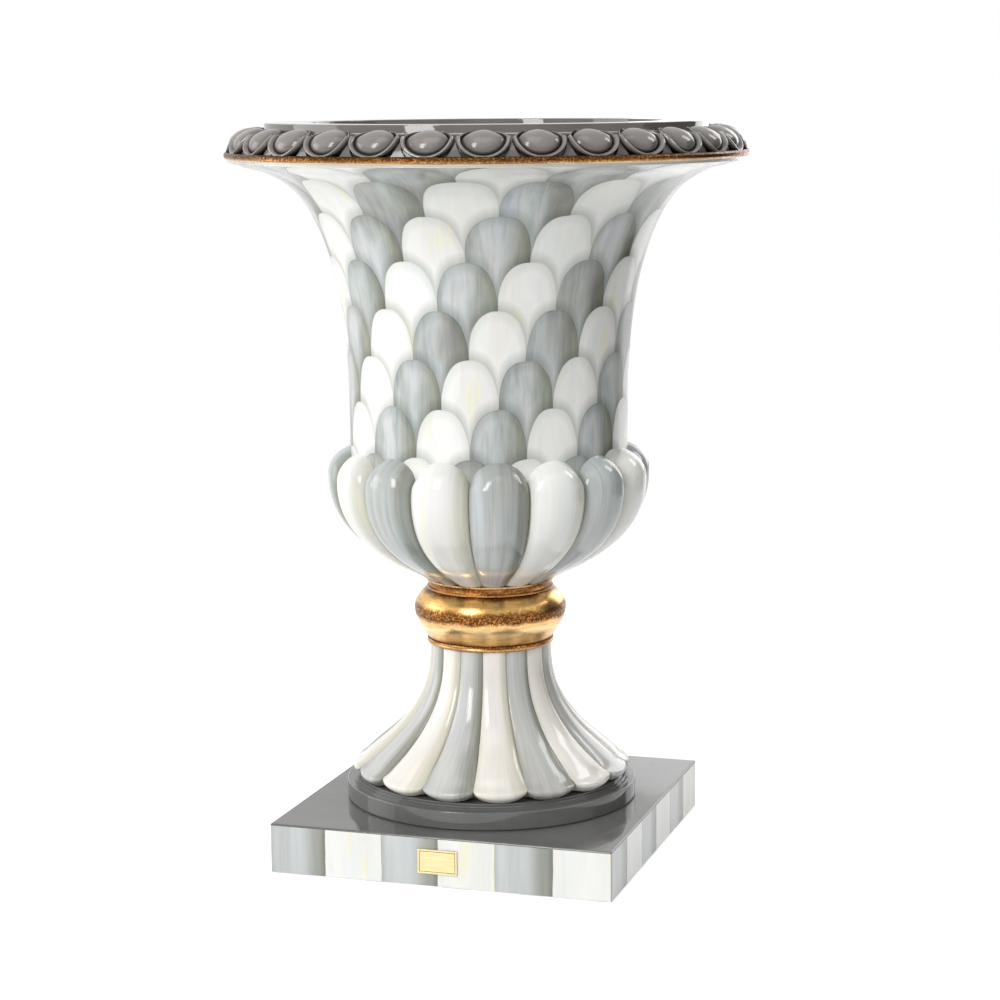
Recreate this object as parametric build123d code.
from build123d import *
import os
from math import cos, pi, radians, sin, tau

# An urn vase: a flared bowl on a lobed cup, a gilded collar, a fluted foot, a disc and a square
# plinth, drawn together by one threaded rod. Millimetres, +Z up. The origin is on the floor
# under the urn's axis, and the plinth's face with the plaque looks along -Y.

# Fits
fit_clearance = 0.3
rod_clearance = 0.5
overrun = 20.0

# Angles in degrees
quarter_turn = 90

# Plinth and what closes it
ground_gap = 1.0
plinth_side = 314.5
plinth_height = 44.2
plinth_wall = 12.0
plinth_roof = 14.0
plinth_arris = 1.5
post_side = 26.0
board_recess = 6.0
board_thickness = 9.0

# Name plaque
plaque_width = 36.3
plaque_height = 21.9
plaque_thickness = 0.8
plaque_pad_thickness = 0.3
plaque_pad_margin = 1.5
plaque_border_inset = 1.6
plaque_border_width = 0.5
plaque_border_depth = 0.25

# Rubber feet, and the screws of the feet and of the board
foot_pad_radius = 14.0
foot_pad_inset = 48.0
screw_radius = 2.0
screw_head_radius = 4.0
screw_head_height = 2.4
board_screw_grip = 10.0
foot_screw_grip = 5.0

# Disc
disc_margin = 6.0
disc_height = 16.7
disc_arris = 1.0
disc_foot_arris = 2.0
disc_spigot_radius = 45.0
disc_spigot_depth = 6.0
seat_step_count = 3
seat_step_height = 1.7
seat_step_width = 2.6
pin_radius = 3.0
pin_length = 14.0
pin_place = 92.0

# Lobes of the foot and of the cup
lobe_count = 16
lobe_turn = 21.4

# Fluted foot: radii over the crests. Height share, flare share, and the crease's share of depth
foot_height = 121.5
foot_tip_radius = 127.1
foot_neck_radius = 55.6
foot_crease = 15.0
foot_wall = 8.0
foot_roof = 20.0
foot_flare_shares = [
    (0.0, 0.91, 1.0),
    (0.018, 0.958, 0.87),
    (0.041, 0.998, 0.6),
    (0.066, 1.0, 0.31),
    (0.084, 0.972, 0.24),
    (0.103, 0.926, 0.27),
    (0.168, 0.812, 0.43),
    (0.235, 0.68, 0.52),
    (0.357, 0.44, 0.39),
    (0.483, 0.258, 0.29),
    (0.608, 0.126, 0.22),
    (0.741, 0.044, 0.17),
    (0.87, 0.01, 0.155),
    (1.0, 0.0, 0.15),
]
foot_toe_station = 5

# Gilded collar, with the knop's height share against its bulge share
collar_spigot_radius = 40.0
collar_spigot_grip = 6.0
lower_ring_height = 5.2
lower_ring_step = 1.0
lower_ring_bulge = 1.4
collar_lip_step = 0.8
collar_lip_height = 1.5
knop_height = 45.8
knop_core_step = 1.4
knop_bulge = 12.4
knop_shares = [
    (0.118, 0.262),
    (0.24, 0.574),
    (0.362, 0.811),
    (0.485, 0.951),
    (0.607, 1.0),
    (0.7, 0.955),
    (0.79, 0.8),
    (0.915, 0.426),
]
upper_ring_height = 8.9
upper_ring_step = 2.8
upper_ring_hollow = 2.2

# Lobed cup: height, crest and crease shares of the belly, then of the shoulder above it
cup_base_step = 2.4
cup_overhang = 20.5
cup_belly_height = 95.1
cup_shoulder_height = 33.0
cup_crease = 18.3
cup_floor = 16.0
cup_bowl_depth = 62.0
cup_floor_flat_radius = 20.0
cup_belly_shares = [
    (0.0, 0.0, 0.24),
    (0.034, 0.071, 0.27),
    (0.095, 0.195, 0.32),
    (0.152, 0.319, 0.36),
    (0.211, 0.432, 0.39),
    (0.328, 0.612, 0.45),
    (0.446, 0.752, 0.49),
    (0.621, 0.892, 0.54),
    (0.794, 0.97, 0.61),
    (1.0, 1.0, 0.73),
]
cup_shoulder_shares = [
    (0.249, 0.978, 0.83),
    (0.5, 0.826, 0.93),
    (0.751, 0.478, 1.0),
    (0.892, 0.087, 0.98),
    (1.0, -0.413, 0.78),
]

# Flared bell of the bowl: height share against flare share, outside and inside
bell_waist_radius = 126.2
bell_wall = 7.0
bell_height = 252.9
bell_socket_depth = 32.4
bell_lip_radius = 230.5
bell_lip_height = 2.7
bell_outer_shares = [
    (0.211, 0.0),
    (0.353, 0.02),
    (0.496, 0.058),
    (0.639, 0.13),
    (0.78, 0.254),
    (0.852, 0.35),
    (0.901, 0.449),
    (0.937, 0.56),
    (0.965, 0.703),
    (0.983, 0.868),
]
lip_slope_share = 0.3
bell_inner_shares = [
    (0.279, 0.016),
    (0.49, 0.146),
    (0.632, 0.362),
    (0.773, 0.704),
    (0.878, 0.894),
]
gasket_thickness = 1.5

# Rim: egg moulding, its tongue on the bell, and the gilt band
rim_width = 73.5
rim_height = 31.2
rim_land_height = 4.5
rim_arris = 0.8
ovolo_width = 33.2
tongue_inset = 23.0
tongue_width = 10.0
tongue_height = 4.0
egg_count = 30
egg_turn = 5.1
egg_gap = 1.1
egg_inset = 18.9
egg_drop = 0.6
band_height = 6.0
band_overhang = 3.2
band_grip = 10.2
band_edge_height = 2.6

# Tie rod and its hardware
rod_radius = 5.0
rod_tail = 1.5
nut_across_flats = 17.0
nut_height = 7.0
lock_washer_radius = 9.0
lock_washer_height = 2.0
plate_washer_radius = 32.0
plate_washer_height = 3.0
seal_radius = 17.0
seal_height = 2.0
top_washer_radius = 15.0
top_washer_height = 2.0
cap_nut_height = 8.0
cap_dome_radius = 7.5
cap_thread_depth = 10.0

# Heights of the stack, from the floor up
plinth_top_z = ground_gap + plinth_height
roof_underside_z = plinth_top_z - plinth_roof
board_base_z = ground_gap + board_recess
board_top_z = board_base_z + board_thickness
disc_top_z = plinth_top_z + disc_height
foot_base_z = disc_top_z + seat_step_count * seat_step_height
foot_top_z = foot_base_z + foot_height
knop_base_z = foot_top_z + lower_ring_height
knop_top_z = knop_base_z + knop_height
cup_base_z = knop_top_z + upper_ring_height
cup_floor_z = cup_base_z + cup_floor
cup_top_z = cup_base_z + cup_belly_height + cup_shoulder_height
ledge_z = cup_top_z - bell_socket_depth
bell_base_z = ledge_z + gasket_thickness
bell_top_z = cup_top_z + bell_height
rim_top_z = bell_top_z + rim_height
nut_base_z = roof_underside_z - plate_washer_height - lock_washer_height - nut_height
cap_nut_base_z = cup_floor_z + seal_height + top_washer_height

# Radii that follow from the ones above
rod_hole_radius = rod_radius + rod_clearance
disc_radius = foot_tip_radius + disc_margin
lower_ring_foot_radius = foot_neck_radius + lower_ring_step
lower_ring_radius = lower_ring_foot_radius + lower_ring_bulge
knop_core_radius = foot_neck_radius + knop_core_step
collar_lip_radius = knop_core_radius + collar_lip_step
upper_ring_radius = foot_neck_radius + upper_ring_step
upper_ring_neck_radius = upper_ring_radius - upper_ring_hollow
cup_base_radius = foot_neck_radius + cup_base_step
cup_radius = bell_waist_radius + cup_overhang
collar_bore_radius = collar_spigot_radius + fit_clearance
bell_bore_radius = bell_waist_radius - bell_wall
cup_socket_radius = bell_waist_radius + fit_clearance
foot_seat_radius = foot_neck_radius + (foot_tip_radius - foot_neck_radius) * foot_flare_shares[0][1]
cavity_side = plinth_side - 2 * plinth_wall
board_side = cavity_side - 2 * fit_clearance
mouth_radius = bell_lip_radius - rim_width
tongue_radius = mouth_radius + tongue_inset
ovolo_radius = bell_lip_radius + fit_clearance
rim_land_radius = ovolo_radius - ovolo_width
egg_ring_radius = ovolo_radius - egg_inset
egg_radius = egg_ring_radius * sin(pi / egg_count) - egg_gap / 2
egg_rise = rim_height - rim_land_height - egg_drop - egg_radius
band_radius = bell_lip_radius + band_overhang
band_bore_radius = bell_lip_radius - band_grip

on_base = (Align.CENTER, Align.CENTER, Align.MIN)


def rod(radius, height, base, x=0.0, y=0.0):
    """Upright cylinder that stands at a height."""
    return Pos(x, y, base) * Cylinder(radius, height, align=on_base)


def ring(outer, inner, height, base):
    """Plain turned ring."""
    return rod(outer, height, base) - rod(inner, height + 2 * overrun, base - overrun)


def slab(width, depth, height, base, x=0.0, y=0.0):
    """Upright block that stands at a height."""
    return Pos(x, y, base) * Box(width, depth, height, align=on_base)


def turned(outline):
    """Solid of revolution of a closed outline given as radius and height."""
    return revolve(make_face(Plane.XZ * outline), Axis.Z)


def lobed_section(crest, crease, height):
    """Closed outline of one arc per lobe, from crease over crest to crease."""
    half_step = tau / lobe_count / 2
    arcs = []
    for lobe in range(lobe_count):
        middle = radians(lobe_turn - quarter_turn) + lobe * 2 * half_step
        corners = [(crease, middle - half_step), (crest, middle), (crease, middle + half_step)]
        points = [(radius * cos(angle), radius * sin(angle), height) for radius, angle in corners]
        arcs.append(Edge.make_three_point_arc(*points))
    return Face(Wire(arcs))


def board_screw_places():
    """Corners and middles of the board's edges, where the posts of the plinth stand."""
    reach = cavity_side / 2 - post_side / 2
    rows = (-reach, 0, reach)
    return [(x, y) for x in rows for y in rows if x or y]


def foot_pad_places():
    """Centres of the four rubber feet."""
    reach = plinth_side / 2 - foot_pad_inset
    return [(x, y) for x in (-reach, reach) for y in (-reach, reach)]


def pin_places():
    """Centres of the two dowels between the plinth and the disc."""
    return [(-pin_place, 0), (pin_place, 0)]


def plinth():
    """Square casting, open below, with posts inside for the board's screws."""
    body = slab(plinth_side, plinth_side, plinth_height, ground_gap)
    outer_edges = body.edges().filter_by(Axis.Z) + body.faces().sort_by(Axis.Z)[-1].edges()
    body = fillet(outer_edges, plinth_arris)
    cavity = slab(cavity_side, cavity_side, plinth_height - plinth_roof + overrun, ground_gap - overrun)
    for x, y in board_screw_places():
        cavity -= slab(post_side, post_side, plinth_height, board_top_z, x, y)
    body -= cavity
    spigot_seat_z = plinth_top_z - disc_spigot_depth - fit_clearance
    body -= rod(disc_spigot_radius + fit_clearance, overrun, spigot_seat_z)
    body -= rod(rod_hole_radius, plinth_height, ground_gap)
    for x, y in pin_places():
        body -= rod(pin_radius + fit_clearance, overrun, plinth_top_z - pin_length / 2, x, y)
    for x, y in board_screw_places():
        body -= rod(screw_radius + fit_clearance, board_screw_grip, board_top_z, x, y)
    return body


def base_board():
    """Board that closes the plinth, with sunk seats for its screws and holes for the feet's."""
    board = slab(board_side, board_side, board_thickness, board_base_z)
    for x, y in board_screw_places():
        board -= rod(screw_radius + fit_clearance, board_thickness, board_base_z, x, y)
        board -= rod(screw_head_radius + fit_clearance, screw_head_height, board_base_z, x, y)
    for x, y in foot_pad_places():
        board -= rod(screw_radius + fit_clearance, foot_screw_grip, board_base_z, x, y)
    return board


def screw(head_base, grip_length, x, y):
    """Round-headed screw that points up from its head."""
    head = rod(screw_head_radius, screw_head_height, head_base, x, y)
    return head + rod(screw_radius, grip_length, head_base + screw_head_height, x, y)


def board_screws():
    """Screws that hold the board to the posts, sunk flush."""
    grip = board_thickness - screw_head_height + board_screw_grip - fit_clearance
    return [screw(board_base_z, grip, x, y) for x, y in board_screw_places()]


def rubber_feet():
    """Feet under the board, each with a deep seat for its screw's head."""
    height = board_base_z
    feet = []
    for x, y in foot_pad_places():
        foot = rod(foot_pad_radius, height, 0, x, y)
        foot -= rod(screw_radius + fit_clearance, height, 0, x, y)
        foot -= rod(screw_head_radius + fit_clearance, height / 2, 0, x, y)
        feet.append(foot)
    return feet


def foot_screws():
    """Screws of the rubber feet, their heads on the seats in the rubber."""
    seat = board_base_z / 2
    grip = board_base_z - seat + foot_screw_grip - fit_clearance
    return [screw(seat - screw_head_height, grip, x, y) for x, y in foot_pad_places()]


def plaque_pad():
    """Adhesive pad between the plaque and the plinth's front face."""
    front = -plinth_side / 2 - plaque_pad_thickness / 2
    width = plaque_width - 2 * plaque_pad_margin
    height = plaque_height - 2 * plaque_pad_margin
    return Pos(0, front, ground_gap + plinth_height / 2) * Box(width, plaque_pad_thickness, height)


def name_plaque():
    """Bare brass plate with one engraved line round its edge."""
    front = -plinth_side / 2 - plaque_pad_thickness - plaque_thickness
    middle = Pos(0, front + plaque_thickness / 2, ground_gap + plinth_height / 2)
    plate = middle * Box(plaque_width, plaque_thickness, plaque_height)
    outer_width = plaque_width - 2 * plaque_border_inset
    outer_height = plaque_height - 2 * plaque_border_inset
    border = Box(outer_width, 2 * plaque_border_depth, outer_height)
    border -= Box(
        outer_width - 2 * plaque_border_width,
        2 * plaque_border_depth,
        outer_height - 2 * plaque_border_width,
    )
    return plate - Pos(0, front, ground_gap + plinth_height / 2) * border


def base_disc():
    """Turned disc with a spigot below and low steps under the foot."""
    disc = rod(disc_radius, disc_height, plinth_top_z)
    disc = fillet(disc.edges().sort_by(Axis.Z)[-1], disc_arris)
    disc = fillet(disc.edges().sort_by(Axis.Z)[0], disc_foot_arris)
    for step in range(seat_step_count):
        radius = foot_seat_radius + (seat_step_count - step) * seat_step_width - seat_step_width / 2
        disc += rod(radius, seat_step_height, disc_top_z + step * seat_step_height)
    disc += rod(disc_spigot_radius, disc_spigot_depth, plinth_top_z - disc_spigot_depth)
    disc -= rod(rod_hole_radius, disc_height + 2 * overrun, plinth_top_z - overrun)
    for x, y in pin_places():
        disc -= rod(pin_radius + fit_clearance, pin_length / 2, plinth_top_z, x, y)
    return disc


def disc_pins():
    """Dowels half in the plinth and half in the disc."""
    length = pin_length - 2 * fit_clearance
    return [rod(pin_radius, length, plinth_top_z - length / 2, x, y) for x, y in pin_places()]


def foot_sizes(height_share, flare_share, crease_share):
    """Height, crest radius and crease radius of the foot at one station."""
    crest = foot_neck_radius + (foot_tip_radius - foot_neck_radius) * flare_share
    return foot_base_z + height_share * foot_height, crest, crest - foot_crease * crease_share


def fluted_foot():
    """Hollow foot of flaring lobes on rounded toes, with a spigot that carries the collar."""
    stations = [foot_sizes(*shares) for shares in foot_flare_shares]
    sections = [lobed_section(crest, crease, height) for height, crest, crease in stations]
    foot = loft(sections[: foot_toe_station + 1]) + loft(sections[foot_toe_station:])
    cavity_top = foot_top_z - foot_roof
    bore = [(crease - foot_wall, height) for height, crest, crease in stations if height < cavity_top]
    outline = Spline(*bore) + Line(bore[-1], (bore[-1][0], cavity_top))
    outline += Polyline((bore[-1][0], cavity_top), (0, cavity_top), (0, bore[0][1]), bore[0])
    foot -= turned(outline)
    foot += rod(collar_spigot_radius, lower_ring_height + collar_spigot_grip, foot_top_z)
    return foot - rod(rod_hole_radius, foot_height, cavity_top - overrun)


def collar_lower_ring():
    """Turned bead with a small square lip above it."""
    lip_z = knop_base_z - collar_lip_height
    outline = Polyline((collar_bore_radius, foot_top_z), (lower_ring_foot_radius, foot_top_z))
    bead_middle = (lower_ring_radius, (foot_top_z + lip_z) / 2)
    outline += ThreePointArc((lower_ring_foot_radius, foot_top_z), bead_middle, (knop_core_radius, lip_z))
    outline += Polyline(
        (knop_core_radius, lip_z),
        (collar_lip_radius, lip_z),
        (collar_lip_radius, knop_base_z),
        (collar_bore_radius, knop_base_z),
        (collar_bore_radius, foot_top_z),
    )
    return turned(outline)


def collar_knop():
    """Full rounded knop, counterbored at both ends for the spigots."""
    points = [(knop_core_radius + r * knop_bulge, knop_base_z + h * knop_height) for h, r in knop_shares]
    outline = Spline((knop_core_radius, knop_base_z), *points, (knop_core_radius, knop_top_z))
    outline += Polyline(
        (knop_core_radius, knop_top_z),
        (rod_hole_radius, knop_top_z),
        (rod_hole_radius, knop_base_z),
        (knop_core_radius, knop_base_z),
    )
    knop = turned(outline)
    depth = collar_spigot_grip + fit_clearance
    knop -= rod(collar_bore_radius, depth, knop_base_z)
    return knop - rod(collar_bore_radius, depth, knop_top_z - depth)


def collar_upper_ring():
    """Turned ring with a lip below and a hollow moulding that widens to the cup."""
    lip_z = knop_top_z + collar_lip_height
    edge_z = cup_base_z - collar_lip_height
    outline = Polyline(
        (upper_ring_neck_radius, lip_z),
        (collar_lip_radius, lip_z),
        (collar_lip_radius, knop_top_z),
        (collar_bore_radius, knop_top_z),
        (collar_bore_radius, cup_base_z),
        (upper_ring_radius, cup_base_z),
        (upper_ring_radius, edge_z),
    )
    middle = (upper_ring_radius, lip_z)
    hollow = (upper_ring_hollow, edge_z - lip_z)
    outline += EllipticalCenterArc(middle, *hollow, quarter_turn, arc_size=quarter_turn)
    return turned(outline)


def cup_stations():
    """Height, crest radius and crease radius of the cup at each station, from its base up."""
    stations = []
    for height_share, crest_share, crease_share in cup_belly_shares:
        height = cup_base_z + height_share * cup_belly_height
        crest = cup_base_radius + (cup_radius - cup_base_radius) * crest_share
        stations.append((height, crest, crest - cup_crease * crease_share))
    for height_share, crest_share, crease_share in cup_shoulder_shares:
        height = cup_base_z + cup_belly_height + height_share * cup_shoulder_height
        crest = bell_waist_radius + (cup_radius - bell_waist_radius) * crest_share
        stations.append((height, crest, crest - cup_crease * crease_share))
    return stations


def gadroon_cup():
    """Lobed lower bowl with a ledge and socket for the bell and a spigot into the collar."""
    cup = loft([lobed_section(crest, crease, height) for height, crest, crease in cup_stations()])
    spring_z = cup_floor_z + cup_bowl_depth
    middle = (cup_floor_flat_radius, spring_z)
    spread = bell_bore_radius - cup_floor_flat_radius
    outline = EllipticalCenterArc(middle, spread, cup_bowl_depth, -quarter_turn, arc_size=quarter_turn)
    outline += Polyline(
        (bell_bore_radius, spring_z),
        (bell_bore_radius, ledge_z),
        (cup_socket_radius, ledge_z),
        (cup_socket_radius, cup_top_z + overrun),
        (0, cup_top_z + overrun),
        (0, cup_floor_z),
        (cup_floor_flat_radius, cup_floor_z),
    )
    cup -= turned(outline)
    spigot_depth = upper_ring_height + collar_spigot_grip
    cup += rod(collar_spigot_radius, spigot_depth, cup_base_z - spigot_depth)
    return cup - rod(rod_hole_radius, spigot_depth + cup_floor + overrun, cup_base_z - spigot_depth)


def bell_gasket():
    """Rubber ring on the cup's ledge, under the bell."""
    return ring(bell_waist_radius, bell_bore_radius, gasket_thickness, ledge_z)


def flare(shares, low, high):
    """Points of a flare between two corners given as radius and height."""
    width = high[0] - low[0]
    height = high[1] - low[1]
    between = [(low[0] + r * width, low[1] + h * height) for h, r in shares]
    return [low, *between, high]


def bowl_bell():
    """Flared wall of the bowl with a tongue on top for the moulding."""
    under_lip_z = bell_top_z - bell_lip_height
    outer = flare(bell_outer_shares, (bell_waist_radius, cup_top_z), (bell_lip_radius, under_lip_z))
    inner = flare(bell_inner_shares, (bell_bore_radius, cup_top_z), (mouth_radius, bell_top_z))
    outline = Spline(*outer, tangents=[(0, 1), (1, lip_slope_share)])
    outline += Polyline(
        (bell_lip_radius, under_lip_z),
        (bell_lip_radius, bell_top_z),
        (tongue_radius + tongue_width, bell_top_z),
        (tongue_radius + tongue_width, bell_top_z + tongue_height),
        (tongue_radius, bell_top_z + tongue_height),
        (tongue_radius, bell_top_z),
        (mouth_radius, bell_top_z),
    )
    outline += Spline(*inner, tangents=[(0, 1), (0, 1)])
    outline += Polyline(
        (bell_bore_radius, cup_top_z),
        (bell_bore_radius, bell_base_z),
        (bell_waist_radius, bell_base_z),
        (bell_waist_radius, cup_top_z),
    )
    return turned(outline)


def rim_moulding():
    """Ring of eggs on a rounded core, with a flat land on top and a rebate for the band."""
    shoulder_z = rim_top_z - rim_land_height
    core_z = bell_top_z + band_height
    middle = (rim_land_radius, core_z)
    outline = EllipticalCenterArc(middle, ovolo_width, shoulder_z - core_z, 0, arc_size=quarter_turn)
    outline += Polyline(
        (rim_land_radius, shoulder_z),
        (rim_land_radius, rim_top_z),
        (mouth_radius, rim_top_z),
        (mouth_radius, bell_top_z),
        (ovolo_radius, bell_top_z),
        (ovolo_radius, core_z),
    )
    moulding = turned(outline)
    moulding = fillet(moulding.edges().filter_by(GeomType.CIRCLE).group_by(Axis.Z)[-1], rim_arris)
    eggs = []
    for egg in range(egg_count):
        angle = radians(egg_turn - quarter_turn) + egg * tau / egg_count
        place = Pos(egg_ring_radius * cos(angle), egg_ring_radius * sin(angle), bell_top_z + egg_rise)
        eggs.append(place * Sphere(egg_radius))
    moulding += eggs
    moulding -= rod(band_bore_radius, 2 * egg_radius, bell_top_z - 2 * egg_radius)
    moulding -= ring(
        band_radius + overrun,
        band_bore_radius - fit_clearance,
        band_height + 2 * egg_radius,
        bell_top_z - 2 * egg_radius,
    )
    return moulding - ring(
        tongue_radius + tongue_width + fit_clearance,
        tongue_radius - fit_clearance,
        tongue_height + fit_clearance + overrun,
        bell_top_z - overrun,
    )


def rim_gilt_band():
    """Gilded ring in the rebate, rounded to a blunt edge at the widest place of the urn."""
    top_z = bell_top_z + band_height
    edge_low_z = bell_top_z + (band_height - band_edge_height) / 2
    edge_top_z = edge_low_z + band_edge_height
    shoulder_radius = band_radius - (band_height - band_edge_height) / 2
    outline = Polyline(
        (shoulder_radius, top_z),
        (band_bore_radius, top_z),
        (band_bore_radius, bell_top_z),
        (shoulder_radius, bell_top_z),
    )
    outline += RadiusArc((shoulder_radius, bell_top_z), (band_radius, edge_low_z), -band_height / 2)
    outline += Line((band_radius, edge_low_z), (band_radius, edge_top_z))
    outline += RadiusArc((band_radius, edge_top_z), (shoulder_radius, top_z), -band_height / 2)
    return turned(outline)


def tie_rod():
    """Threaded rod from under the nut in the plinth up into the cap nut."""
    base = nut_base_z - rod_tail
    top = cap_nut_base_z + cap_thread_depth - fit_clearance
    return rod(rod_radius, top - base, base)


def hexagon_nut(height, base):
    """Hexagon across flats, bored for the rod."""
    profile = RegularPolygon(nut_across_flats / 2, 6, major_radius=False)
    nut = extrude(Pos(0, 0, base) * profile, height)
    return nut - rod(rod_radius + fit_clearance, height, base)


def rod_nut():
    """Lower nut, inside the plinth."""
    return hexagon_nut(nut_height, nut_base_z)


def rod_cap_nut():
    """Domed nut on the floor of the cup."""
    dome_z = cap_nut_base_z + cap_nut_height
    nut = hexagon_nut(cap_nut_height, cap_nut_base_z)
    dome = Pos(0, 0, dome_z) * Sphere(cap_dome_radius)
    dome -= rod(cap_dome_radius + overrun, overrun, dome_z - overrun)
    dome -= rod(rod_radius + fit_clearance, cap_thread_depth, cap_nut_base_z)
    return nut + dome


def washer(radius, height, base):
    """Flat washer round the rod."""
    return ring(radius, rod_hole_radius, height, base)


nodes = {
    "plinth": plinth(),
    "base_board": base_board(),
    "board_screws": board_screws(),
    "rubber_feet": rubber_feet(),
    "foot_screws": foot_screws(),
    "plaque_pad": plaque_pad(),
    "name_plaque": name_plaque(),
    "base_disc": base_disc(),
    "disc_pins": disc_pins(),
    "fluted_foot": fluted_foot(),
    "collar_lower_ring": collar_lower_ring(),
    "collar_knop": collar_knop(),
    "collar_upper_ring": collar_upper_ring(),
    "gadroon_cup": gadroon_cup(),
    "bell_gasket": bell_gasket(),
    "bowl_bell": bowl_bell(),
    "rim_moulding": rim_moulding(),
    "rim_gilt_band": rim_gilt_band(),
    "tie_rod": tie_rod(),
    "rod_nut": rod_nut(),
    "rod_lock_washer": washer(lock_washer_radius, lock_washer_height, nut_base_z + nut_height),
    "rod_plate_washer": washer(
        plate_washer_radius, plate_washer_height, roof_underside_z - plate_washer_height
    ),
    "rod_seal_washer": washer(seal_radius, seal_height, cup_floor_z),
    "rod_top_washer": washer(top_washer_radius, top_washer_height, cup_floor_z + seal_height),
    "rod_cap_nut": rod_cap_nut(),
}

os.makedirs("parts", exist_ok=True)
for name, shape in nodes.items():
    if isinstance(shape, list):
        shape = Compound(children=shape)
    export_step(shape, f"parts/{name}.step")
    print(name, len(shape.solids()), round(shape.volume))
print("height", rim_top_z)
